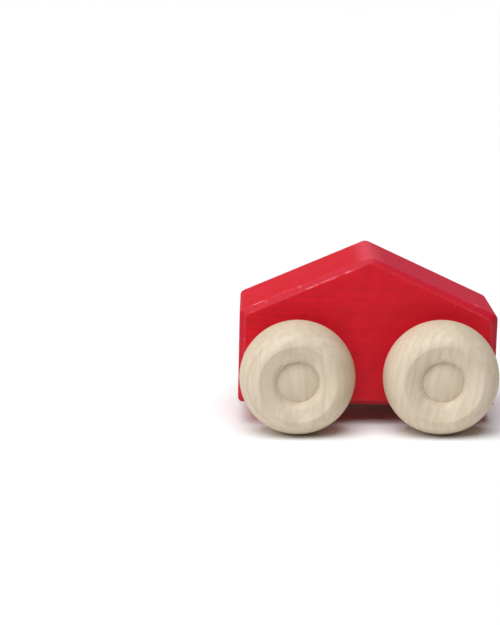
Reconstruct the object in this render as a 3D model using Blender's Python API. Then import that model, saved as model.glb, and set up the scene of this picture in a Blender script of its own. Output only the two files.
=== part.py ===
"""A wooden push-along toy vehicle: a solid gabled block that rolls on two glued wheelsets.

Metres. +X is forward, +Y is the vehicle's left side and +Z is up. The origin is on the
floor under the middle of the vehicle, midway between the axles.

Pieces: one block with two cross bores, two dowel axles that turn in them, and four
turned wheels, each with a blind socket behind that is glued on an axle's end.
"""

from math import acos, cos, hypot, pi, radians, sin, tan

import bmesh
import bpy
from mathutils import Matrix, Vector

# The block, measured level, before it leans.
BLOCK_LENGTH = 0.1015
BLOCK_WIDTH = 0.0411
END_HEIGHT = 0.0371  # an end face, from the underside to the shoulder
RIDGE_HEIGHT = 0.0597  # from the underside to the sharp ridge, before it is rounded
SIDE_CHAMFER = 0.0021  # leg of the flat chamfer round both side faces
RIDGE_RADIUS = 0.0035
SHOULDER_RADIUS = 0.0032
BOTTOM_RADIUS = 0.0018
BLOCK_LEAN = radians(1.2)  # nose down, because the bores aren't drilled at quite one height

# The axles.
WHEELBASE = 0.0557
AXLE_HEIGHT_IN_BLOCK = 0.0145  # bore centres above the underside
AXLE_DIAMETER = 0.0080
AXLE_PLAY = 0.0003  # round the axle in its bore, so that it turns freely
AXLE_END_BEVEL = 0.0006

# The wheels. Depths are along the axle, from the wheel's widest circle.
WHEEL_DIAMETER = 0.0450
CREST_DEPTH = 0.0122  # outwards to the crest of the tyre, which is the lip of the dish
BACK_DEPTH = 0.0089  # inwards to the flat back
CROWN_WIDTH = 0.0076  # radially, from the widest circle in to the lip
LIP_INSET = 0.0011  # the crown's ellipse is centred this far inside the lip, so it falls away at once
BACK_ROUNDING = 0.0085  # radially, from the widest circle in to the flat back
FOOT_WIDTH = 0.0013  # of the steep foot of the dish, round the hub button
FOOT_RISE = 0.0016
HUB_RADIUS = 0.0080
HUB_SINK = 0.0040  # rim of the hub button, below the crest
HUB_DOME = 0.0013  # rise of the button from its rim to its middle
STEP_WIDTH = 0.0003  # of the small step from the foot of the dish down to the button's rim
STEP_DROP = 0.0007
SOCKET_DEPTH = 0.0110
SIDE_GAP = 0.0015  # between a wheel's back and the block

GLUE_GAP = 0.0003  # round and behind an axle's end in its socket

# Fineness of the round shapes.
TURNED_STEPS = 48
CROWN_STEPS = 7
BACK_STEPS = 5
DOME_STEPS = 3
EDGE_STEPS = 4

WHEEL_RADIUS = WHEEL_DIAMETER / 2
AXLE_RADIUS = AXLE_DIAMETER / 2
UNDERSIDE = WHEEL_RADIUS - AXLE_HEIGHT_IN_BLOCK
WHEEL_OFFSET = BLOCK_WIDTH / 2 + SIDE_GAP + BACK_DEPTH  # of its widest circle, from the middle
AXLE_LENGTH = BLOCK_WIDTH + 2 * (SIDE_GAP + SOCKET_DEPTH - GLUE_GAP)


def clear_scene():
    for thing in list(bpy.data.objects):
        bpy.data.objects.remove(thing, do_unlink=True)


def wood(name, colour, roughness):
    material = bpy.data.materials.new(name)
    material.use_nodes = True
    shader = material.node_tree.nodes["Principled BSDF"]
    shader.inputs["Base Color"].default_value = (*colour, 1.0)
    shader.inputs["Roughness"].default_value = roughness
    shader.inputs["Metallic"].default_value = 0.0
    material.diffuse_color = (*colour, 1.0)
    return material


def new_object(name, mesh, material=None):
    piece = bpy.data.objects.new(name, mesh)
    bpy.context.scene.collection.objects.link(piece)
    if material and not mesh.materials:
        mesh.materials.append(material)
    return piece


def finished_mesh(name, shape):
    mesh = bpy.data.meshes.new(name)
    shape.to_mesh(mesh)
    shape.free()
    return mesh


def finished_round_mesh(name, shape):
    """The same, with round faces shaded smooth and true edges sharp."""
    mesh = finished_mesh(name, shape)
    mesh.shade_smooth()
    mesh.set_sharp_from_angle(angle=radians(30))
    return mesh


def quarter(centre, wide, deep, first, last, steps):
    """Points on an ellipse about centre, from the angle first to last, both included."""
    turns = [first + (last - first) * step / steps for step in range(steps + 1)]
    return [Vector((centre[0] + wide * cos(turn), centre[1] + deep * sin(turn))) for turn in turns]


def turned_mesh(name, profile, steps):
    """A solid turned about its own Y axis from (radius, depth) points, deep along -Y."""
    shape = bmesh.new()
    points = [shape.verts.new((radius, -depth, 0)) for radius, depth in profile]
    edges = [shape.edges.new(pair) for pair in zip(points, points[1:])]
    bmesh.ops.spin(
        shape, geom=points + edges, axis=(0, 1, 0), cent=(0, 0, 0), angle=2 * pi, steps=steps,
        use_merge=True,
    )
    bmesh.ops.remove_doubles(shape, verts=shape.verts, dist=1e-6)
    bmesh.ops.recalc_face_normals(shape, faces=shape.faces)
    return finished_round_mesh(name, shape)


def wheel_profile():
    """Half a section, from the middle of the hub button out, round the tyre and into the socket."""
    hub_top = CREST_DEPTH - HUB_SINK + HUB_DOME
    shares = [step / DOME_STEPS for step in range(DOME_STEPS + 1)]
    dome = [Vector((HUB_RADIUS * share, hub_top - HUB_DOME * share**2)) for share in shares]
    # The crown is an ellipse, met at the lip by the cone of the dish.
    wide = CROWN_WIDTH + LIP_INSET
    lip_turn = acos(LIP_INSET / wide)
    crown = quarter(
        (WHEEL_RADIUS - wide, 0), wide, CREST_DEPTH / sin(lip_turn), lip_turn, 0, CROWN_STEPS
    )
    foot = Vector((HUB_RADIUS + STEP_WIDTH, CREST_DEPTH - HUB_SINK + STEP_DROP))
    knee = foot + Vector((FOOT_WIDTH, FOOT_RISE))
    back_radius = WHEEL_RADIUS - BACK_ROUNDING
    back = quarter((back_radius, 0), BACK_ROUNDING, BACK_DEPTH, 0, -pi / 2, BACK_STEPS)
    socket_radius = AXLE_RADIUS + GLUE_GAP
    socket_floor = -BACK_DEPTH + SOCKET_DEPTH
    socket = [
        Vector((socket_radius, -BACK_DEPTH)),
        Vector((socket_radius, socket_floor)),
        Vector((0, socket_floor)),
    ]
    return dome + [foot, knee] + crown + back[1:] + socket


def axle_profile():
    end = AXLE_LENGTH / 2
    return [
        (0, end),
        (AXLE_RADIUS - AXLE_END_BEVEL, end),
        (AXLE_RADIUS, end - AXLE_END_BEVEL),
        (AXLE_RADIUS, AXLE_END_BEVEL - end),
        (AXLE_RADIUS - AXLE_END_BEVEL, -end),
        (0, -end),
    ]


def block_corners():
    """The house-shaped outline as (x, z, radius), leaning, anticlockwise seen from the right side."""
    half = BLOCK_LENGTH / 2
    level = [
        (-half, 0, BOTTOM_RADIUS),
        (half, 0, BOTTOM_RADIUS),
        (half, END_HEIGHT, SHOULDER_RADIUS),
        (0, RIDGE_HEIGHT, RIDGE_RADIUS),
        (-half, END_HEIGHT, SHOULDER_RADIUS),
    ]
    middle = END_HEIGHT / 2  # of the end faces, about which the block leans
    lean = Matrix.Rotation(-BLOCK_LEAN, 2)
    corners = []
    for x, z, radius in level:
        turned = lean @ Vector((x, z - middle))
        corners.append((turned.x, turned.y + middle + UNDERSIDE, radius))
    return corners


def spans_width(edge):
    """Whether an edge of the block runs across it, or at least slants across it as a mitre does."""
    first, second = edge.verts
    return abs(first.co.y - second.co.y) > 1e-6


def block_mesh():
    corners = block_corners()
    shape = bmesh.new()
    side = shape.faces.new([shape.verts.new((x, -BLOCK_WIDTH / 2, z)) for x, z, _ in corners])
    pulled = bmesh.ops.extrude_face_region(shape, geom=[side])["geom"]
    moved = [item for item in pulled if isinstance(item, bmesh.types.BMVert)]
    bmesh.ops.translate(shape, verts=moved, vec=(0, BLOCK_WIDTH, 0))
    bmesh.ops.recalc_face_normals(shape, faces=shape.faces)
    rims = [edge for edge in shape.edges if not spans_width(edge)]
    bmesh.ops.bevel(
        shape, geom=rims, offset=SIDE_CHAMFER, offset_type="OFFSET", segments=1, profile=0.5,
        affect="EDGES", material=-1,
    )
    for number in range(len(corners)):
        round_corner(shape, corners, number)
    return finished_mesh("body_block", shape)


def round_corner(shape, corners, number):
    """Rounds the edge that crosses the block at a corner of its outline, and its two mitres."""
    x, z, radius = corners[number]
    before, after = corners[number - 1], corners[(number + 1) % len(corners)]
    arriving = Vector((x - before[0], z - before[1]))
    leaving = Vector((after[0] - x, after[1] - z))
    turn = arriving.angle(leaving)
    reach = 1.01 * SIDE_CHAMFER / cos(turn / 2)  # just past the inner end of a mitre

    def near(vertex):
        return hypot(vertex.co.x - x, vertex.co.z - z) < reach

    crossing = [
        edge for edge in shape.edges
        if all(near(vertex) for vertex in edge.verts) and spans_width(edge)
    ]
    rounded = bmesh.ops.bevel(
        shape, geom=crossing, offset=radius * tan(turn / 2), offset_type="OFFSET",
        segments=EDGE_STEPS, profile=0.5, affect="EDGES", material=-1,
    )
    for face in rounded["faces"]:
        face.smooth = True


def bore_cutter(name, place):
    """A rod, longer than the block is wide, that a Boolean takes out of the block."""
    shape = bmesh.new()
    radius = (AXLE_RADIUS + AXLE_PLAY) / cos(pi / TURNED_STEPS)  # so that its flats clear the axle
    bmesh.ops.create_cone(
        shape, cap_ends=True, segments=TURNED_STEPS, radius1=radius, radius2=radius,
        depth=2 * BLOCK_WIDTH, matrix=Matrix.Rotation(pi / 2, 4, "X"),
    )
    cutter = new_object(name, finished_round_mesh(name, shape))
    cutter.location = place
    cutter.hide_render = True
    cutter.display_type = "WIRE"
    return cutter


def make_block(material, axle_places):
    block = new_object("body_block", block_mesh(), material)
    for end, place in axle_places.items():
        bore = block.modifiers.new(f"bore_{end}", "BOOLEAN")
        bore.operation = "DIFFERENCE"
        bore.solver = "EXACT"
        bore.object = bore_cutter(f"cutter_{end}", place)


def make_wheelset(end, place, axle_mesh, wheel_mesh, materials):
    """An axle and its two wheels, under an empty on the axis that they turn about."""
    hub = new_object(f"{end}_wheelset", None)
    hub.location = place
    axle = new_object(f"axle_{end}", axle_mesh, materials["dowel"])
    axle.parent = hub
    for side, outward in (("right", -1), ("left", 1)):
        wheel = new_object(f"wheel_{end}_{side}", wheel_mesh, materials["wheel"])
        wheel.parent = hub
        wheel.location = (0, outward * WHEEL_OFFSET, 0)
        wheel.rotation_euler = (0, 0, 0 if outward < 0 else pi)


def main():
    clear_scene()
    materials = {
        "block": wood("crimson_stain", (0.52, 0.012, 0.035), 0.55),
        "wheel": wood("bare_maple", (0.72, 0.58, 0.41), 0.60),
        "dowel": wood("beech_dowel", (0.62, 0.43, 0.27), 0.65),
    }
    axle_places = {
        "rear": (-WHEELBASE / 2, 0, WHEEL_RADIUS),
        "front": (WHEELBASE / 2, 0, WHEEL_RADIUS),
    }
    make_block(materials["block"], axle_places)
    axle_mesh = turned_mesh("axle", axle_profile(), TURNED_STEPS)
    wheel_mesh = turned_mesh("wheel", wheel_profile(), TURNED_STEPS)
    for end, place in axle_places.items():
        make_wheelset(end, place, axle_mesh, wheel_mesh, materials)


main()
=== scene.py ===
"""The look of a wooden push-along toy vehicle: a crimson stained block on four bare turned wheels.

Metres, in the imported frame: +X is forward, +Y is the vehicle's left and +Z is up. The block is
sawn, chamfered and rounded again with softer borders, and the wheels and axles are turned again
with finer profiles. Each takes the place of its plain CAD solid and rides on the same body.
"""

from math import acos, cos, hypot, pi, radians, sin, tan

import bmesh
import bpy
from mathutils import Euler, Matrix, Vector, noise


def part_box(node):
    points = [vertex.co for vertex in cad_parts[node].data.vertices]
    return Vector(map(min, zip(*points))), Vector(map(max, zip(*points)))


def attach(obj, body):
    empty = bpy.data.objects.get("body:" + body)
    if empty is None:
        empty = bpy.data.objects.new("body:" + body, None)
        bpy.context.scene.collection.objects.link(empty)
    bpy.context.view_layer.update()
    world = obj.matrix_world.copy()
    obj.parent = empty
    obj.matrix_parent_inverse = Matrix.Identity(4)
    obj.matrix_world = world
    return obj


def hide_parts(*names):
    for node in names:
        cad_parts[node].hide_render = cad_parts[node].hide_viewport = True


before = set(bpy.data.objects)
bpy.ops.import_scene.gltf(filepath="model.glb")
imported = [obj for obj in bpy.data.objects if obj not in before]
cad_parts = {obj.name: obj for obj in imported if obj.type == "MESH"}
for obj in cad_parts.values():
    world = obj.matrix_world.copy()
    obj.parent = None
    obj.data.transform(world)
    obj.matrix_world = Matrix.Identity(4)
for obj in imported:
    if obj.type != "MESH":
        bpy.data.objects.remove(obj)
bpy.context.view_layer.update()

MM = 0.001
TINY = 1e-6  # lengths below this count as none

# The block, measured level, before it leans nose down about the middle of its length, at half
# the height of its end faces.
BLOCK_LENGTH = 0.1015
END_HEIGHT = 0.0371
RIDGE_HEIGHT = 0.0597
BLOCK_LEAN = radians(1.2)
AXLE_HEIGHT_IN_BLOCK = 0.0145
SIDE_CHAMFER = 0.0021
RIDGE_RADIUS = 0.0035
FRONT_SHOULDER_RADIUS = 0.0028
REAR_SHOULDER_RADIUS = 0.0022
BOTTOM_RADIUS = 0.0018
CORNER_STEPS = 8
MITRE_MARGIN = 1.01  # so that both ends of a corner's mitre are found
BLOCK_SHARP_FROM = radians(35)  # edges that turn more than this are shaded sharp

# How wide the hand-sanded chamfer is at each corner, where 1 is SIDE_CHAMFER.
BOTTOM_CHAMFERING = 1.0
FRONT_CHAMFERING = 1.22
RIDGE_CHAMFERING = 0.86
REAR_CHAMFERING = 1.02

# The cross cuts that let the long borders waver, measured from the ridge.
SAWN_FROM = 0.0030
SAWN_TO = 0.0440
SAWN_PITCH = 0.0034
LONG_WAVER = 0.00010  # most that the long waves of hand sanding move a border
SHORT_WAVER = 0.00005  # the same for the short waves
LONG_WAVES = 90  # about this many to the metre
SHORT_WAVES = 330

# The borders between the chamfers and the faces, and their wear.
BORDER_FROM = radians(18)  # an edge that turns more than this is a border
BORDER_SOFTNESS = 0.00032  # how far sanding reaches to either side of a border
BORDER_STEPS = 3
RUBBED_REACH = 0.00035  # width of the ring beside a border, over which its wear fades
HARD_WEAR = 1.0  # rubbed through in places
LIGHT_WEAR = 0.81  # of all the other borders
SLOPE_WORN = (-0.046, -0.031)  # where along the block the slopes' borders are hard worn
SIDE_WORN = (-0.029, -0.002)  # the same for the side faces' borders
WORN_ABOVE = 0.040  # no border below this height is hard worn
RUBBED_LAYER = "rubbed"  # carries the wear from the shape to its stain

# The wheels. Depths are along the axle, outwards from the wheel's widest circle.
CREST_DEPTH = 0.0122  # of the lip of the dish, where the crown stands out furthest
CROWN_WIDTH = 0.0076  # from the lip out to the widest circle
CROWN_STEPS = 28
LIP_INSET = 0.0011  # the crown's ellipse is centred this far inside the lip
BACK_ROUNDING = 0.0085
BACK_STEPS = 14
FOOT_WIDTH = 0.0013  # of the steep foot of the dish
FOOT_RISE = 0.0016
HUB_RADIUS = 0.0080
HUB_SINK = 0.0040  # from the lip in to the rim of the hub button
HUB_DOME = 0.0013
HUB_STEPS = 10
STEP_WIDTH = 0.0003  # of the small step from the foot of the dish in to the hub button's rim
STEP_DROP = 0.0007
LIP_EASE = 0.00026  # how far sanding reaches to either side of the lip
LIP_STEPS = 4
KNEE_EASE = 0.00110  # the same at the knee, where the foot meets the slope of the dish
KNEE_STEPS = 6
FOOT_EASE = 0.00012  # the same at the bottom of the foot
FOOT_STEPS = 3
SOCKET_RADIUS = 0.0043
SOCKET_DEPTH = 0.0110
WHEEL_STEPS = 144
WHEEL_SHARP_FROM = radians(40)

# How each wheel was cut from its plank: the turn of the grain, and how far off across the grain,
# in millimetres, the middle of the tree lay.
WHEEL_CUTS = {
    "wheel_front_right": ((radians(14), -radians(81), 0), (-44.0, -18.0)),
    "wheel_front_left": ((0, -radians(15), 0), (-36.0, 15.0)),
    "wheel_rear_right": ((0, -radians(92), 0), (38.0, 12.0)),
    "wheel_rear_left": ((0, -radians(60), 0), (30.0, 26.0)),
}

# The axles.
AXLE_NODES = ("axle_front", "axle_rear")
AXLE_END_BEVEL = 0.0006
AXLE_EASE = 0.00020  # how far sanding reaches to either side of a bevel's edge
AXLE_EASE_STEPS = 3
AXLE_STEPS = 96
AXLE_SHARP_FROM = radians(30)
BORE_CLEARANCE = 0.0003
BORE_STEPS = 96

# The stain, as red, green and blue light, from the first coat to the last wear; some of these
# colours are painted shade, sheen or highlight.
DEEP_CRIMSON = (0.59, 0.0028, 0.012)
CLEAR_CRIMSON = (0.77, 0.0065, 0.022)
YEAR_CRIMSON = (0.50, 0.0030, 0.013)
PORE_CRIMSON = (0.40, 0.0035, 0.013)
# painted shade, deepening the stain towards the front end
FALLOFF_SHADE_CRIMSON = (0.53, 0.0030, 0.013)
# painted sheen on the forward slope
FRONT_SLOPE_SHEEN_PINK = (0.66, 0.0130, 0.062)
SANDED_PINK = (0.60, 0.0060, 0.038)
THICK_CRIMSON = (0.46, 0.0060, 0.036)
CHAMFER_CRIMSON = (0.48, 0.0030, 0.018)
CHAMFER_DUST = (0.78, 0.0280, 0.075)
# painted shade on the front end's chamfers
FRONT_CHAMFER_SHADE_CRIMSON = (0.36, 0.0025, 0.012)
# painted shade low down, near the floor
LOW_SHADE_CRIMSON = (0.38, 0.0025, 0.012)
END_CRIMSON = (0.50, 0.0045, 0.016)
END_YEAR_CRIMSON = (0.26, 0.0030, 0.010)
END_FIBRE_CRIMSON = (0.66, 0.0100, 0.030)
# painted highlight and wear along the crest of the ridge
CREST_HIGHLIGHT_AND_WEAR_PINK = (0.80, 0.100, 0.135)
RUBBED_PINK = (0.88, 0.200, 0.230)
SPECK_PINK = (0.84, 0.150, 0.170)
STAIN_RELIEF = 0.00005
STAIN_IOR = 1.32

# The bare woods.
MAPLE_DARK = (0.600, 0.495, 0.355)
MAPLE_PALE = (0.700, 0.602, 0.470)
MAPLE_YEAR = (0.525, 0.400, 0.265)
MAPLE_FLECK = (0.480, 0.365, 0.245)
# heartwood tint and painted shade on one side of each wheel
MAPLE_HEART_SHADE = (0.50, 0.360, 0.190)
MAPLE_END = (0.545, 0.415, 0.270)
BEECH_DARK = (0.52, 0.360, 0.220)
BEECH_PALE = (0.66, 0.490, 0.330)
BEECH_FLECK = (0.40, 0.250, 0.140)
BEECH_END = (0.42, 0.270, 0.150)
BARE_RELIEF = 0.00004
BARE_IOR = 1.45
LATHE_PITCH = 14.0  # of the turning lines, in radians to the millimetre

# The studio.
FLOOR_REACH = 12.0  # from its middle to each side
FLOOR_WHITE = (0.94, 0.94, 0.94, 1.0)
ROOM_COLOUR = (1.0, 0.91, 0.76, 1.0)
ROOM_DIM = 0.0
ROOM_BRIGHT = 0.34
ROOM_BRIGHT_TOWARD = (-0.60, 0.80, 0.0)
CAMERA_PLACE = (-0.043576, -0.679819, 0.193100)
CAMERA_TURN = (radians(77.4029), 0, radians(0.2346))
CAMERA_LENS = 99.4745
CAMERA_SENSOR = 36.0
CAMERA_NEAR = 0.01
CAMERA_FAR = 50.0


# ---------------------------------------------------------------- shader maths


class Wire:
    """A value in a material, so that shader maths reads as a plain expression."""

    def __init__(self, finish, socket):
        self.finish = finish
        self.socket = socket

    def combine(self, operation, first, second):
        return self.finish.node("ShaderNodeMath", {"operation": operation}, {0: first, 1: second})

    def __add__(self, other):
        return self.combine("ADD", self, other)

    def __radd__(self, other):
        return self.combine("ADD", other, self)

    def __sub__(self, other):
        return self.combine("SUBTRACT", self, other)

    def __rsub__(self, other):
        return self.combine("SUBTRACT", other, self)

    def __mul__(self, other):
        return self.combine("MULTIPLY", self, other)

    def __rmul__(self, other):
        return self.combine("MULTIPLY", other, self)

    def __truediv__(self, other):
        return self.combine("DIVIDE", self, other)


class Finish:
    """One material's node tree."""

    def __init__(self, name, preview):
        self.material = bpy.data.materials.new(name)
        self.material.use_nodes = True
        self.material.diffuse_color = (*preview, 1.0)
        self.tree = self.material.node_tree
        self.shader = self.tree.nodes["Principled BSDF"]

    def node(self, kind, settings, inputs, output=0):
        """Adds a node, sets it up, then fills its sockets with values or links."""
        made = self.tree.nodes.new(kind)
        for name, value in settings.items():
            if name == "stops":
                self.set_stops(made.color_ramp, value)
            else:
                setattr(made, name, value)
        for name, value in inputs.items():
            self.plug(value, made.inputs[name])
        return Wire(self, made.outputs[output])

    def set_stops(self, ramp, stops):
        while len(ramp.elements) < len(stops):
            ramp.elements.new(1.0)
        for element, (position, level) in zip(ramp.elements, stops):
            element.position = position
            element.color = (level, level, level, 1.0)

    def plug(self, value, socket):
        if isinstance(value, Wire):
            self.tree.links.new(value.socket, socket)
        else:
            socket.default_value = value

    def coat(self, **surface):
        """Fills the shader's sockets: base_color, roughness and so on."""
        for name, value in surface.items():
            label = name.replace("_", " ").title().replace("Ior", "IOR")
            self.plug(value, self.shader.inputs[label])

    # What the finishes below are mixed from.

    def place(self, centre=(0, 0, 0), turn=(0, 0, 0)):
        """The spot on the piece in millimetres, about a centre and turned to the wood's axes."""
        spot = self.node("ShaderNodeTexCoord", {}, {}, "Object")
        return self.node(
            "ShaderNodeMapping", {"vector_type": "TEXTURE"},
            {"Vector": spot, "Location": centre, "Rotation": turn, "Scale": (MM, MM, MM)},
        )

    def stretch(self, spot, amounts):
        return self.node(
            "ShaderNodeVectorMath", {"operation": "MULTIPLY"}, {0: spot, 1: amounts}
        )

    def speckle(self, spot, scale, detail, roughness=0.5):
        """Soft noise, 0 to 1, with about scale lumps to the millimetre."""
        return self.node(
            "ShaderNodeTexNoise", {"noise_dimensions": "3D"},
            {"Vector": spot, "Scale": scale, "Detail": detail, "Roughness": roughness}, "Fac",
        )

    def band(self, value, low, high, to_low=0.0, to_high=1.0):
        """Value taken smoothly from low and high to 0 and 1, or to two other ends."""
        return self.node(
            "ShaderNodeMapRange", {"interpolation_type": "SMOOTHSTEP"},
            {"Value": value, "From Min": low, "From Max": high,
             "To Min": to_low, "To Max": to_high},
        )

    def blend(self, amount, first, second):
        """Two colours mixed. A colour is a Wire or three numbers."""
        first, second = (c if isinstance(c, Wire) else (*c, 1.0) for c in (first, second))
        return self.node(
            "ShaderNodeMix", {"data_type": "RGBA", "blend_type": "MIX", "clamp_factor": True},
            {0: amount, 6: first, 7: second}, 2,
        )

    def axis(self, spot, name):
        return self.node("ShaderNodeSeparateXYZ", {}, {0: spot}, name)

    def facing(self, axis):
        """How squarely the surface faces along an axis of the piece, 0 to 1."""
        normal = self.node("ShaderNodeTexCoord", {}, {}, "Normal")
        along = self.node(
            "ShaderNodeVectorMath", {"operation": "DOT_PRODUCT"}, {0: normal, 1: axis}, "Value"
        )
        return self.node("ShaderNodeMath", {"operation": "ABSOLUTE"}, {0: along})

    def relief(self, height, depth, strength):
        return self.node(
            "ShaderNodeBump", {},
            {"Strength": strength, "Distance": depth, "Height": height}, "Normal",
        )


# ---------------------------------------------------------------- finishes


def rings(finish, spot, pith, spacing, waver):
    """Year rings round a pith along the wood's X axis: 1 at the dark late edge of each."""
    wobble = finish.speckle(finish.stretch(spot, (0.02, 0.09, 0.09)), 1.0, 2.0)
    across = finish.node(
        "ShaderNodeVectorMath", {"operation": "SUBTRACT"},
        {0: finish.stretch(spot, (0.0, 1.0, 1.0)), 1: (0.0, *pith)},
    )
    radius = finish.node("ShaderNodeVectorMath", {"operation": "LENGTH"}, {0: across}, "Value")
    count = (radius + wobble * waver) / spacing
    share = finish.node("ShaderNodeMath", {"operation": "FRACT"}, {0: count})
    early_to_late = ((0.0, 0.55), (0.12, 0.0), (0.55, 0.12), (0.92, 1.0), (1.0, 0.55))
    return finish.node("ShaderNodeValToRGB", {"stops": early_to_late}, {"Fac": share})


class BlockGrain:
    """What the block's stain follows: places in millimetres, and patterns from 0 to 1."""

    def __init__(self, finish):
        spot = finish.place(turn=(0, BLOCK_LEAN, 0))
        self.spot = spot
        self.along = finish.axis(spot, "X")
        self.height = finish.axis(spot, "Z")
        self.fibre = finish.speckle(finish.stretch(spot, (0.10, 1.9, 1.9)), 1.0, 3.0, 0.6)
        streak = finish.speckle(finish.stretch(spot, (0.030, 0.50, 0.50)), 1.0, 3.0, 0.55)
        self.mottle = finish.speckle(spot, 0.16, 4.0, 0.6)
        self.depth = self.fibre * 0.28 + streak * 0.30 + self.mottle * 0.42
        pricks = finish.speckle(finish.stretch(spot, (0.30, 3.4, 3.4)), 1.0, 1.0)
        self.pores = finish.band(pricks, 0.64, 0.76)
        self.year = rings(finish, spot, pith=(-35.0, -60.0), spacing=3.1, waver=3.0)

        sideways = finish.facing((0, 1, 0))
        self.end_grain = finish.band(finish.facing((1, 0, 0)), 0.55, 0.95)
        self.sanded = finish.band(sideways, 1.0, 0.2)
        self.chamfer = finish.band(sideways, 0.45, 0.62) * finish.band(sideways, 0.98, 0.82)

        self.worn = finish.node(
            "ShaderNodeAttribute",
            {"attribute_name": RUBBED_LAYER, "attribute_type": "GEOMETRY"}, {}, "Fac",
        )
        self.patches = finish.speckle(finish.stretch(spot, (0.14, 0.40, 0.40)), 1.0, 4.0, 0.7)
        self.rubbed = finish.band(self.worn * self.patches, 0.46, 0.57)


def first_coat(finish, grain):
    """Crimson with faint streaks, rings and pores along the block; painted shade deepens it towards
    its front end.
    """
    wood = finish.blend(finish.band(grain.depth, 0.38, 0.62), DEEP_CRIMSON, CLEAR_CRIMSON)
    wood = finish.blend(grain.year * 0.10, wood, YEAR_CRIMSON)
    wood = finish.blend(grain.pores * 0.25, wood, PORE_CRIMSON)
    # painted shade: the crimson deepens towards the front end, where the light from the left falls
    # off
    return finish.blend(finish.band(grain.along, -52.0, 52.0, 0.0, 0.60), wood, FALLOFF_SHADE_CRIMSON)


def pinken_and_sheen_slopes(finish, grain, wood):
    """Pinker off the side faces, most of all in front, where a painted sheen lies on the slopes,
    and deeper where the stain lies thick in places.
    """
    forward = finish.band(grain.along, -12.0, 12.0)
    # painted sheen: the forward half of the slopes and ends is tinted pink, as a grazing reflection
    # would show
    sheen = grain.sanded * forward * (0.30 + grain.depth * 0.7)
    wood = finish.blend(sheen, wood, FRONT_SLOPE_SHEEN_PINK)
    wood = finish.blend(
        grain.sanded * finish.band(grain.depth, 0.40, 0.60) * 0.45, wood, SANDED_PINK
    )
    uneven = finish.band(grain.fibre * 0.5 + grain.mottle * 0.5, 0.56, 0.44)
    thick = grain.sanded * forward * uneven
    return finish.blend(thick * 0.40, wood, THICK_CRIMSON)


def deepen_chamfers_and_shade(finish, grain, wood):
    """Deeper and a little dusty on the chamfers, with painted shade deepening the front end's
    chamfers most and everything near the floor.
    """
    dust = finish.band(finish.speckle(grain.spot, 1.4, 3.0, 0.7), 0.48, 0.62)
    wood = finish.blend(grain.chamfer * 0.75, wood, CHAMFER_CRIMSON)
    wood = finish.blend(grain.chamfer * dust * 0.20, wood, CHAMFER_DUST)
    # painted shade: the chamfers at the front end are deepened
    front_end_shade = finish.band(grain.along, 36.0, 50.0)
    wood = finish.blend(front_end_shade * grain.chamfer * 0.45, wood, FRONT_CHAMFER_SHADE_CRIMSON)
    # painted shade: darker along the bottom, near the floor
    return finish.blend(finish.band(grain.height, 11.0, 8.6) * 0.35, wood, LOW_SHADE_CRIMSON)


def darken_ends(finish, grain, wood):
    """End grain on the end faces, with its rings and cut fibres."""
    wood = finish.blend(grain.end_grain * 0.40, wood, END_CRIMSON)
    wood = finish.blend(grain.end_grain * grain.year * 0.40, wood, END_YEAR_CRIMSON)
    cut_fibres = finish.band(grain.fibre, 0.40, 0.66)
    return finish.blend(grain.end_grain * cut_fibres * 0.40, wood, END_FIBRE_CRIMSON)


def rub_pale_and_highlight_crest(finish, grain, wood):
    """Pale along the crest of the ridge, as painted highlight and wear, in patches along the
    borders, and in a few specks.
    """
    # painted highlight and wear: the rounded crest of the ridge is paled
    crest = finish.band(grain.height + grain.mottle * 2.0, 65.5, 68.5) * grain.sanded
    wood = finish.blend(crest * 0.5, wood, CREST_HIGHLIGHT_AND_WEAR_PINK)
    wood = finish.blend(grain.rubbed * 0.60 + grain.worn * 0.06, wood, RUBBED_PINK)
    specks = finish.band(finish.speckle(grain.spot, 0.50, 0.0), 0.855, 0.885)
    return finish.blend(specks * 0.35, wood, SPECK_PINK)


def crimson_stain():
    """Beech stained crimson, with its grain showing faintly and its borders rubbed pale."""
    finish = Finish("crimson_stain", (0.52, 0.012, 0.035))
    grain = BlockGrain(finish)
    wood = first_coat(finish, grain)
    wood = pinken_and_sheen_slopes(finish, grain, wood)
    wood = deepen_chamfers_and_shade(finish, grain, wood)
    wood = darken_ends(finish, grain, wood)
    wood = rub_pale_and_highlight_crest(finish, grain, wood)
    relief = grain.fibre * 0.5 - grain.pores * 0.6 + grain.patches * grain.worn * 0.5
    finish.coat(
        base_color=wood,
        roughness=0.50 + grain.fibre * 0.12 + grain.end_grain * 0.12 - grain.rubbed * 0.04,
        ior=STAIN_IOR,
        normal=finish.relief(relief, STAIN_RELIEF, 0.6),
    )
    return finish.material


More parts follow.
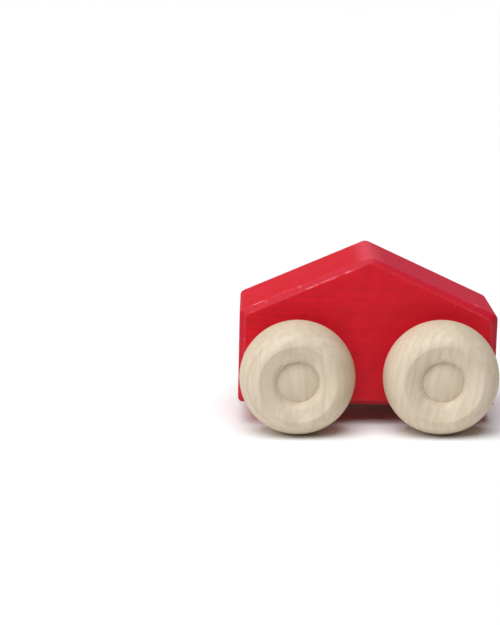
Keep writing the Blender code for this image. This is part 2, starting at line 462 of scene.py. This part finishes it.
def bare_maple(name, centre, turn, pith):
    """Bare turned maple: pale, with fibres across the wheel's face and darker end grain."""
    finish = Finish(name, (0.72, 0.58, 0.41))
    spot = finish.place(centre, turn)
    fibre = finish.speckle(finish.stretch(spot, (0.035, 2.0, 2.0)), 1.0, 3.0, 0.6)
    streak = finish.speckle(finish.stretch(spot, (0.012, 0.45, 0.45)), 1.0, 3.0, 0.6)
    mottle = finish.speckle(finish.stretch(spot, (0.05, 0.10, 0.10)), 1.0, 2.0)
    pricks = finish.speckle(finish.stretch(spot, (0.40, 3.2, 1.2)), 1.0, 1.0)
    flecks = finish.band(pricks, 0.63, 0.76)
    year = rings(finish, spot, pith, spacing=2.9, waver=2.2)

    grain = fibre * 0.20 + streak * 0.55 + mottle * 0.25
    wood = finish.blend(finish.band(grain, 0.35, 0.65), MAPLE_DARK, MAPLE_PALE)
    wood = finish.blend(year * 0.24, wood, MAPLE_YEAR)
    wood = finish.blend(flecks * 0.26, wood, MAPLE_FLECK)
    # heartwood tint and painted shade: a dark warm band on one side of the wheel, away from the
    # light
    heart_and_shade = finish.band(finish.axis(spot, "Z") + mottle * 6.0, -7.0, -19.0)
    wood = finish.blend(heart_and_shade * 0.50, wood, MAPLE_HEART_SHADE)
    along = Euler(turn).to_matrix() @ Vector((1, 0, 0))
    end_grain = finish.band(finish.facing(along), 0.50, 1.0)
    wood = finish.blend(end_grain * 0.35, wood, MAPLE_END)

    radius = finish.node(
        "ShaderNodeVectorMath", {"operation": "LENGTH"},
        {0: finish.stretch(finish.place(centre), (1.0, 0.0, 1.0))}, "Value",
    )
    lathe = finish.node("ShaderNodeMath", {"operation": "SINE"}, {0: radius * LATHE_PITCH})
    relief = fibre * 0.6 - flecks * 0.3 + lathe * 0.06
    finish.coat(
        base_color=wood,
        roughness=0.46 + fibre * 0.14 + end_grain * 0.10,
        ior=BARE_IOR,
        normal=finish.relief(relief, BARE_RELIEF, 0.5),
    )
    return finish.material


def dowel_beech(name, centre):
    """Bare beech dowel: fibres and short flecks along the axle."""
    finish = Finish(name, (0.62, 0.43, 0.27))
    spot = finish.place(centre, (0, 0, pi / 2))
    fibre = finish.speckle(finish.stretch(spot, (0.08, 2.6, 2.6)), 1.0, 3.0, 0.6)
    pricks = finish.speckle(finish.stretch(spot, (0.45, 3.6, 3.6)), 1.0, 1.0)
    flecks = finish.band(pricks, 0.60, 0.74)
    end_grain = finish.band(finish.facing((0, 1, 0)), 0.6, 1.0)
    wood = finish.blend(finish.band(fibre, 0.32, 0.68), BEECH_DARK, BEECH_PALE)
    wood = finish.blend(flecks * 0.4, wood, BEECH_FLECK)
    wood = finish.blend(end_grain * 0.4, wood, BEECH_END)
    finish.coat(
        base_color=wood,
        roughness=0.58 + fibre * 0.14,
        ior=BARE_IOR,
        normal=finish.relief(fibre - flecks * 0.6, BARE_RELIEF, 0.5),
    )
    return finish.material


# ---------------------------------------------------------------- pieces


def finished_piece(name, shape, material, sharp_from):
    """A bmesh made a smooth-shaded object whose place is in its mesh."""
    mesh = bpy.data.meshes.new(name)
    shape.to_mesh(mesh)
    shape.free()
    mesh.materials.append(material)
    mesh.shade_smooth()
    mesh.set_sharp_from_angle(angle=sharp_from)
    piece = bpy.data.objects.new(name, mesh)
    bpy.context.scene.collection.objects.link(piece)
    return piece


def ellipse(centre, wide, deep, first, last, steps):
    """Points on an ellipse about centre, from the angle first to last, both included."""
    turns = [first + (last - first) * step / steps for step in range(steps + 1)]
    return [Vector((centre[0] + wide * cos(t), centre[1] + deep * sin(t))) for t in turns]


def eased(points, corner, reach, steps):
    """The points, with a soft curve for one of them that starts and ends reach away from it."""
    before, here, after = (Vector(points[corner + k]) for k in (-1, 0, 1))
    start = here + (before - here).normalized() * reach
    end = here + (after - here).normalized() * reach
    soft = []
    for step in range(steps + 1):
        share = step / steps
        soft.append(start.lerp(here, share).lerp(here.lerp(end, share), share))
    return points[:corner] + soft + points[corner + 1:]


def wheel_profile(wheel_radius, back_depth):
    """Half a section, from the hub button's middle out, round the tyre and into the socket."""
    hub_rim = Vector((HUB_RADIUS, CREST_DEPTH - HUB_SINK))
    dome = []
    for step in range(HUB_STEPS):
        share = step / HUB_STEPS
        dome.append(Vector((HUB_RADIUS * share, hub_rim.y + HUB_DOME * (1 - share**2))))
    wide = CROWN_WIDTH + LIP_INSET
    lip_turn = acos(LIP_INSET / wide)
    deep = CREST_DEPTH / sin(lip_turn)
    crown = ellipse((wheel_radius - wide, 0), wide, deep, lip_turn, 0, CROWN_STEPS)
    foot = hub_rim + Vector((STEP_WIDTH, STEP_DROP))
    knee = foot + Vector((FOOT_WIDTH, FOOT_RISE))
    back_radius = wheel_radius - BACK_ROUNDING
    back = ellipse((back_radius, 0), BACK_ROUNDING, back_depth, 0, -pi / 2, BACK_STEPS)
    socket = [
        Vector((SOCKET_RADIUS, -back_depth)),
        Vector((SOCKET_RADIUS, SOCKET_DEPTH - back_depth)),
        Vector((0, SOCKET_DEPTH - back_depth)),
    ]
    points = dome + [hub_rim, foot, knee] + crown + back[1:] + socket
    rim_at = len(dome)
    # The outermost corner goes first, so that the numbers of the others still hold.
    points = eased(points, rim_at + 3, LIP_EASE, LIP_STEPS)
    points = eased(points, rim_at + 2, KNEE_EASE, KNEE_STEPS)
    return eased(points, rim_at + 1, FOOT_EASE, FOOT_STEPS)


def turned(profile, steps):
    """A solid turned about its own Y axis from (radius, depth) points, deep along -Y."""
    shape = bmesh.new()
    points = [shape.verts.new((radius, -depth, 0)) for radius, depth in profile]
    edges = [shape.edges.new(pair) for pair in zip(points, points[1:])]
    bmesh.ops.spin(
        shape, geom=points + edges, axis=(0, 1, 0), cent=(0, 0, 0), angle=2 * pi, steps=steps,
        use_merge=True,
    )
    bmesh.ops.remove_doubles(shape, verts=shape.verts, dist=TINY)
    bmesh.ops.recalc_face_normals(shape, faces=shape.faces)
    return shape


def make_wheel(node, grain_turn, pith):
    """One wheel, turned in the place of its CAD solid, with its face away from the block."""
    low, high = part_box(node)
    centre = (low + high) / 2
    outward = 1 if centre.y > 0 else -1
    wheel_radius = (high.z - low.z) / 2
    back_depth = (high.y - low.y) - CREST_DEPTH
    crest = high.y if outward > 0 else low.y
    widest = Vector((centre.x, crest - outward * CREST_DEPTH, centre.z))
    shape = turned(wheel_profile(wheel_radius, back_depth), WHEEL_STEPS)
    if outward > 0:
        half_turn = Matrix.Rotation(pi, 3, "Z")
        bmesh.ops.rotate(shape, verts=shape.verts, cent=(0, 0, 0), matrix=half_turn)
    bmesh.ops.translate(shape, verts=shape.verts, vec=widest)
    name = node.replace("wheel", "turned_wheel")
    material = bare_maple(node.replace("wheel", "bare_maple"), widest, grain_turn, pith)
    wheel = finished_piece(name, shape, material, WHEEL_SHARP_FROM)
    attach(wheel, node.split("_")[1] + "_wheelset")
    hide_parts(node)


def make_axle(node):
    """One dowel, with eased ends, in the place of its CAD solid."""
    low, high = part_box(node)
    radius, end = (high.z - low.z) / 2, (high.y - low.y) / 2
    centre = (low + high) / 2
    profile = [
        (0, end), (radius - AXLE_END_BEVEL, end), (radius, end - AXLE_END_BEVEL),
        (radius, AXLE_END_BEVEL - end), (radius - AXLE_END_BEVEL, -end), (0, -end),
    ]
    profile = [Vector(point) for point in profile]
    for corner in (4, 3, 2, 1):  # the last one first, so that the numbers of the others still hold
        profile = eased(profile, corner, AXLE_EASE, AXLE_EASE_STEPS)
    shape = turned(profile, AXLE_STEPS)
    bmesh.ops.translate(shape, verts=shape.verts, vec=centre)
    end_name = node.split("_")[1]
    material = dowel_beech(f"dowel_beech_{end_name}", centre)
    axle = finished_piece(f"dowel_{end_name}", shape, material, AXLE_SHARP_FROM)
    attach(axle, end_name + "_wheelset")
    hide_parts(node)


def block_corners():
    """The house-shaped outline, leaning, as (x, z, radius, chamfering) at each corner.

    Seen from the right side it runs anticlockwise. Chamfering is how wide the hand-sanded
    chamfer is at the corner, where 1 is usual.
    """
    half = BLOCK_LENGTH / 2
    level = [
        (-half, 0, BOTTOM_RADIUS, BOTTOM_CHAMFERING),
        (half, 0, BOTTOM_RADIUS, BOTTOM_CHAMFERING),
        (half, END_HEIGHT, FRONT_SHOULDER_RADIUS, FRONT_CHAMFERING),
        (0, RIDGE_HEIGHT, RIDGE_RADIUS, RIDGE_CHAMFERING),
        (-half, END_HEIGHT, REAR_SHOULDER_RADIUS, REAR_CHAMFERING),
    ]
    middle = END_HEIGHT / 2
    wheel_low, wheel_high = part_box("wheel_front_right")
    underside = (wheel_low.z + wheel_high.z) / 2 - AXLE_HEIGHT_IN_BLOCK
    lean = Matrix.Rotation(-BLOCK_LEAN, 2)
    corners = []
    for x, z, radius, chamfering in level:
        leaning = lean @ Vector((x, z - middle))
        corners.append((leaning.x, leaning.y + middle + underside, radius, chamfering))
    return corners


def spans_width(edge):
    """Whether an edge runs across the block, or at least slants across it as a mitre does."""
    first, second = edge.verts
    return abs(first.co.y - second.co.y) > TINY


def sawn_block(corners, width):
    """The block with flat chamfers round both sides, wider or narrower at some corners."""
    shape = bmesh.new()
    side = shape.faces.new([shape.verts.new((x, -width / 2, z)) for x, z, _, _ in corners])
    pulled = bmesh.ops.extrude_face_region(shape, geom=[side])["geom"]
    moved = [item for item in pulled if isinstance(item, bmesh.types.BMVert)]
    bmesh.ops.translate(shape, verts=moved, vec=(0, width, 0))
    bmesh.ops.recalc_face_normals(shape, faces=shape.faces)
    rims = [edge for edge in shape.edges if not spans_width(edge)]
    bmesh.ops.bevel(
        shape, geom=rims, offset=SIDE_CHAMFER, offset_type="OFFSET", segments=1, profile=0.5,
        affect="EDGES", material=-1,
    )
    for x, z, _, chamfering in corners:
        for y in (-width / 2, width / 2):
            sharp = Vector((x, y, z))
            near = [vert for vert in shape.verts if (vert.co - sharp).length < 2 * SIDE_CHAMFER]
            bmesh.ops.scale(
                shape, verts=near, vec=(chamfering, chamfering, chamfering),
                space=Matrix.Translation(-sharp),
            )
    return shape


def round_corner(shape, corners, number):
    """Rounds the edge that crosses the block at a corner of its outline, and its two mitres."""
    x, z, radius, chamfering = corners[number]
    before, after = corners[number - 1], corners[(number + 1) % len(corners)]
    turn = Vector((x - before[0], z - before[1])).angle(Vector((after[0] - x, after[1] - z)))
    reach = MITRE_MARGIN * chamfering * SIDE_CHAMFER / cos(turn / 2)
    crossing = [
        edge for edge in shape.edges
        if spans_width(edge) and all(hypot(v.co.x - x, v.co.z - z) < reach for v in edge.verts)
    ]
    bmesh.ops.bevel(
        shape, geom=crossing, offset=radius * tan(turn / 2), offset_type="OFFSET",
        segments=CORNER_STEPS, profile=0.5, affect="EDGES", material=-1,
    )


def cross_cut(shape):
    """Cuts the straight stretches of the block crosswise, so that its long borders can waver."""
    count = round((SAWN_TO - SAWN_FROM) / SAWN_PITCH)
    places = [SAWN_FROM + (SAWN_TO - SAWN_FROM) * cut / count for cut in range(count + 1)]
    for x in [-place for place in places] + places:
        bmesh.ops.bisect_plane(
            shape, geom=shape.verts[:] + shape.edges[:] + shape.faces[:], dist=TINY,
            plane_co=(x, 0, 0), plane_no=(1, 0, 0),
        )


def border_edges(shape):
    """The edges where a chamfer meets a face."""
    return [edge for edge in shape.edges if edge.calc_face_angle(0) > BORDER_FROM]


def waver_borders(shape, width):
    """Moves the borders a little, as sanding by hand does, along the faces they bound."""
    for edge in border_edges(shape):
        for vert in edge.verts:
            vert.tag = True
    for vert in [vert for vert in shape.verts if vert.tag]:
        drift = LONG_WAVER * noise.noise(vert.co * LONG_WAVES)
        drift += SHORT_WAVER * noise.noise(vert.co * SHORT_WAVES)
        on_side = abs(abs(vert.co.y) - width / 2) < TINY
        if on_side:
            vert.co.z += drift
        else:
            vert.co.y += drift


def soften_borders(shape, width):
    """Rounds the borders finely and marks the rounding as rubbed, hardest up on the rear slope."""
    rubbed = shape.verts.layers.float.new(RUBBED_LAYER)
    softened = bmesh.ops.bevel(
        shape, geom=border_edges(shape), offset=BORDER_SOFTNESS, offset_type="OFFSET",
        segments=BORDER_STEPS, profile=0.5, affect="EDGES", material=-1,
    )["faces"]
    for face in softened:
        for vert in face.verts:
            on_side = abs(vert.co.y) > (width - SIDE_CHAMFER) / 2
            start, end = SIDE_WORN if on_side else SLOPE_WORN
            hard = vert.co.z > WORN_ABOVE and start < vert.co.x < end
            vert[rubbed] = HARD_WEAR if hard else LIGHT_WEAR
    rounding = set(softened)
    flats = [face for face in shape.faces if face not in rounding]
    bmesh.ops.inset_region(
        shape, faces=flats, thickness=RUBBED_REACH, use_even_offset=True, use_boundary=True
    )
    for face in flats:
        for vert in face.verts:
            vert[rubbed] = 0.0


def bore_block(block, width):
    """Drills the two cross bores for the axles, and leaves the result in the block's own mesh."""
    for node in AXLE_NODES:
        low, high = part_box(node)
        radius = (high.z - low.z) / 2 + BORE_CLEARANCE
        shape = bmesh.new()
        bmesh.ops.create_cone(
            shape, cap_ends=True, segments=BORE_STEPS, radius1=radius, radius2=radius,
            depth=2 * width,
            matrix=Matrix.Translation((low + high) / 2) @ Matrix.Rotation(pi / 2, 4, "X"),
        )
        material = block.data.materials[0]
        drill = finished_piece(f"drill_{node}", shape, material, BLOCK_SHARP_FROM)
        bore = block.modifiers.new(f"bore_{node}", "BOOLEAN")
        bore.operation = "DIFFERENCE"
        bore.solver = "EXACT"
        bore.object = drill
    bored = bpy.data.meshes.new_from_object(
        block.evaluated_get(bpy.context.evaluated_depsgraph_get())
    )
    for bore in list(block.modifiers):
        bpy.data.objects.remove(bore.object)
        block.modifiers.remove(bore)
    bored.shade_smooth()
    bored.set_sharp_from_angle(angle=BLOCK_SHARP_FROM)
    block.data = bored


def make_block():
    """The stained block, sawn, chamfered, rounded, worn and bored in the place of its CAD solid."""
    low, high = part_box("body_block")
    width = high.y - low.y
    corners = block_corners()
    shape = sawn_block(corners, width)
    for number in range(len(corners)):
        round_corner(shape, corners, number)
    cross_cut(shape)
    waver_borders(shape, width)
    soften_borders(shape, width)
    bmesh.ops.recalc_face_normals(shape, faces=shape.faces)
    block = finished_piece("stained_block", shape, crimson_stain(), BLOCK_SHARP_FROM)
    bore_block(block, width)
    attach(block, "block")
    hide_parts("body_block")


# ---------------------------------------------------------------- studio


def make_floor():
    """A wide white floor under the wheels, which is part of the studio and not of the toy."""
    shape = bmesh.new()
    bmesh.ops.create_grid(shape, x_segments=1, y_segments=1, size=FLOOR_REACH)
    finish = Finish("studio_floor", (0.85, 0.85, 0.85))
    finish.coat(base_color=FLOOR_WHITE, roughness=0.8, ior=1.3)
    floor = finished_piece("floor", shape, finish.material, pi)


def hang_lamp(name, toward, softness, level, colour):
    """A distant soft lamp. At level 1 it lights a white surface that faces it to full white."""
    lamp = bpy.data.lights.new(name, "SUN")
    lamp.angle = softness
    lamp.energy = level * pi
    lamp.color = colour
    holder = bpy.data.objects.new(name, lamp)
    bpy.context.scene.collection.objects.link(holder)
    holder.rotation_mode = "QUATERNION"
    holder.rotation_quaternion = Vector(toward).to_track_quat("Z", "Y")


def make_light():
    """Soft lamps in a warm room.

    From the camera they hang overhead and upper left, and the room is bright behind the toy and
    dark in front of it.
    """
    world = bpy.data.worlds.new("studio")
    bpy.context.scene.world = world
    world.use_nodes = True
    tree = world.node_tree
    direction = tree.nodes.new("ShaderNodeTexCoord")
    toward = tree.nodes.new("ShaderNodeVectorMath")
    toward.operation = "DOT_PRODUCT"
    toward.inputs[1].default_value = ROOM_BRIGHT_TOWARD
    glow = tree.nodes.new("ShaderNodeMapRange")
    glow.inputs["From Min"].default_value = -1.0
    glow.inputs["To Min"].default_value = ROOM_DIM
    glow.inputs["To Max"].default_value = ROOM_BRIGHT
    room = tree.nodes["Background"]
    room.inputs["Color"].default_value = ROOM_COLOUR
    tree.links.new(direction.outputs["Generated"], toward.inputs[0])
    tree.links.new(toward.outputs["Value"], glow.inputs["Value"])
    tree.links.new(glow.outputs[0], room.inputs["Strength"])
    hang_lamp(
        "overhead_lamp", toward=(-0.105, -0.324, 0.94), softness=radians(50), level=0.83,
        colour=(0.97, 1.0, 1.06),
    )
    hang_lamp(
        "left_lamp", toward=(-0.65, -0.49, 0.59), softness=radians(40), level=0.30,
        colour=(1.0, 1.0, 1.0),
    )


def make_camera():
    """A long lens at the right side, a little above the toy and sharp all through."""
    camera = bpy.data.cameras.new("camera")
    camera.lens = CAMERA_LENS
    camera.sensor_width = CAMERA_SENSOR
    camera.dof.use_dof = False
    camera.clip_start = CAMERA_NEAR
    camera.clip_end = CAMERA_FAR
    holder = bpy.data.objects.new("camera", camera)
    bpy.context.scene.collection.objects.link(holder)
    holder.location = CAMERA_PLACE
    holder.rotation_euler = CAMERA_TURN
    bpy.context.scene.camera = holder
    bpy.context.scene.view_settings.view_transform = "Standard"


def make_toy():
    make_block()
    for node in AXLE_NODES:
        make_axle(node)
    for node, (grain_turn, pith) in WHEEL_CUTS.items():
        make_wheel(node, grain_turn, pith)


def make_studio():
    make_floor()
    make_light()
    make_camera()


make_toy()
make_studio()
